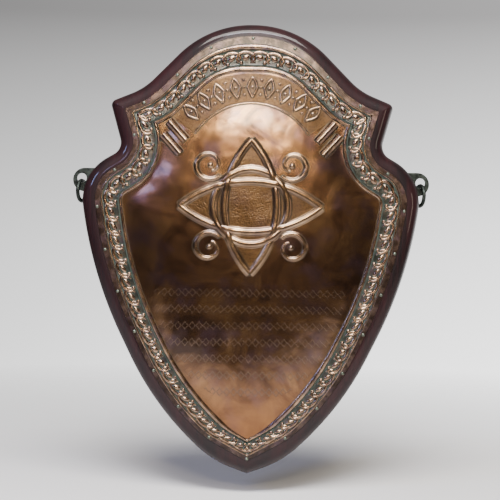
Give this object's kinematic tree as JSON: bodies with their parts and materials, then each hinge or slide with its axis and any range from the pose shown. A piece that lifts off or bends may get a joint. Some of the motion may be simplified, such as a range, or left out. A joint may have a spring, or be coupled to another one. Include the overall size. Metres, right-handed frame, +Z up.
{
  "type": "wall shield",
  "caption": "Wooden wall shield faced with one embossed copper sheet, edge pins round its rim, and an iron hanger plate with a loose ring behind each shoulder.",
  "frame": {"origin": "middle of the flat back face of the board, halfway between the apex and the tip", "axes": "+Z up, +X to the viewer's right, the embossed front faces -Y and +Y points into the wall"},
  "size_m": [0.3586, 0.0412, 0.448],
  "materials": {
    "mahogany": "french polished, gloss",
    "copper": "patinated copper, planished",
    "pin_metal": "dulled nickelled brass",
    "iron": "blackened wrought iron",
    "screw_steel": "dulled steel"
  },
  "bodies": {
    "shield": {"backboard": "mahogany", "copper_plate": "copper", "edge_pins": "pin_metal", "left_hanger": "iron", "right_hanger": "iron", "left_hanger_screws": "screw_steel", "right_hanger_screws": "screw_steel"},
    "left_ring": {"left_ring": "iron"},
    "right_ring": {"right_ring": "iron"}
  },
  "joints": [
    {"name": "left_ring_swing", "type": "hinge", "parent": "shield", "child": "left_ring", "pos_m": [-0.1705, -0.0015, 0.06925], "axis": [0, 1, 0], "range_deg": [0, 180]},
    {"name": "right_ring_swing", "type": "hinge", "parent": "shield", "child": "right_ring", "pos_m": [0.1705, -0.0015, 0.06925], "axis": [0, -1, 0], "range_deg": [0, 180]}
  ]
}
